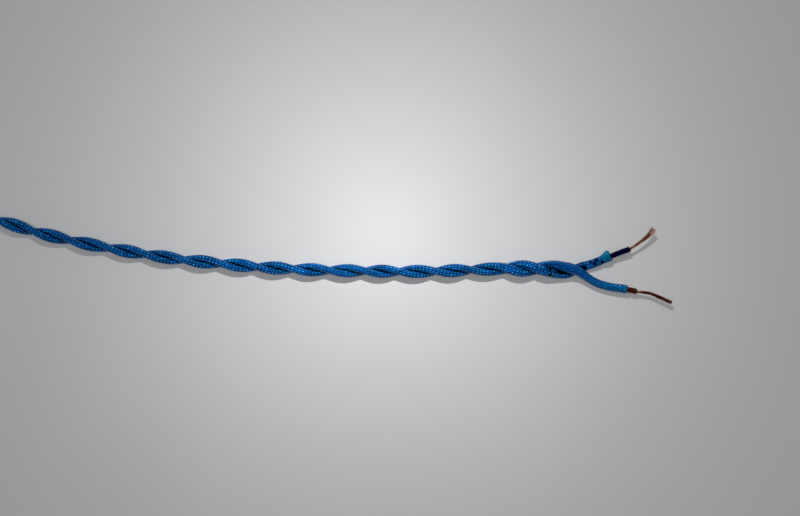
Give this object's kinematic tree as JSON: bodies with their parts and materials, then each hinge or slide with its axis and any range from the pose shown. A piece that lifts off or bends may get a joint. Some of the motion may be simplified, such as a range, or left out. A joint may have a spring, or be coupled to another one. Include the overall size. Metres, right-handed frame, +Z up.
{
  "type": "twisted textile flex lead",
  "caption": "Twisted pair of braid-covered cores with parted, stripped and bared ends, and the spare length tied in a hank.",
  "frame": {"origin": "on the surface that the flex lies on, under the middle of its whole box", "axes": "+X along the flex, from the hank towards the bared ends; +Z up from the surface"},
  "size_m": [0.4237, 0.0476, 0.0177],
  "materials": {
    "blue_braid": "glossy blue viscose braid with cyan highlights",
    "blue_insulation": "dark navy PVC, satin",
    "brown_insulation": "dark brown PVC, satin",
    "copper": "bright plain copper strands",
    "nylon": "natural nylon, satin"
  },
  "bodies": {
    "flex": {"hank": "blue_braid", "hank_tie": "nylon", "blue_core_sleeve": "blue_braid", "blue_core_insulation": "blue_insulation", "blue_core_conductor": "copper", "brown_core_sleeve": "blue_braid", "brown_core_insulation": "brown_insulation", "brown_core_conductor": "copper"},
    "blue_end": {"blue_tail_sleeve": "blue_braid", "blue_tail_insulation": "blue_insulation", "blue_strand_01": "copper", "blue_strand_02": "copper", "blue_strand_03": "copper", "blue_strand_04": "copper", "blue_strand_05": "copper", "blue_strand_06": "copper", "blue_strand_07": "copper", "blue_strand_08": "copper", "blue_strand_09": "copper", "blue_strand_10": "copper", "blue_strand_11": "copper", "blue_strand_12": "copper", "blue_strand_13": "copper", "blue_strand_14": "copper", "blue_strand_15": "copper", "blue_strand_16": "copper", "blue_strand_17": "copper", "blue_strand_18": "copper", "blue_strand_19": "copper", "blue_strand_20": "copper", "blue_strand_21": "copper", "blue_strand_22": "copper", "blue_strand_23": "copper", "blue_strand_24": "copper"},
    "brown_end": {"brown_tail_sleeve": "blue_braid", "brown_tail_insulation": "brown_insulation", "brown_strand_01": "copper", "brown_strand_02": "copper", "brown_strand_03": "copper", "brown_strand_04": "copper", "brown_strand_05": "copper", "brown_strand_06": "copper", "brown_strand_07": "copper", "brown_strand_08": "copper", "brown_strand_09": "copper", "brown_strand_10": "copper", "brown_strand_11": "copper", "brown_strand_12": "copper", "brown_strand_13": "copper", "brown_strand_14": "copper", "brown_strand_15": "copper", "brown_strand_16": "copper", "brown_strand_17": "copper", "brown_strand_18": "copper", "brown_strand_19": "copper", "brown_strand_20": "copper", "brown_strand_21": "copper", "brown_strand_22": "copper", "brown_strand_23": "copper", "brown_strand_24": "copper"}
  },
  "joints": [
    {"name": "blue_end_bend", "type": "hinge", "parent": "flex", "child": "blue_end", "pos_m": [0.17552, -0.00412, 0.00152], "axis": [0, 0, 1], "range_deg": [-20, 45]},
    {"name": "brown_end_bend", "type": "hinge", "parent": "flex", "child": "brown_end", "pos_m": [0.17564, -0.0106, 0.00315], "axis": [0, 0, 1], "range_deg": [-45, 15]}
  ]
}
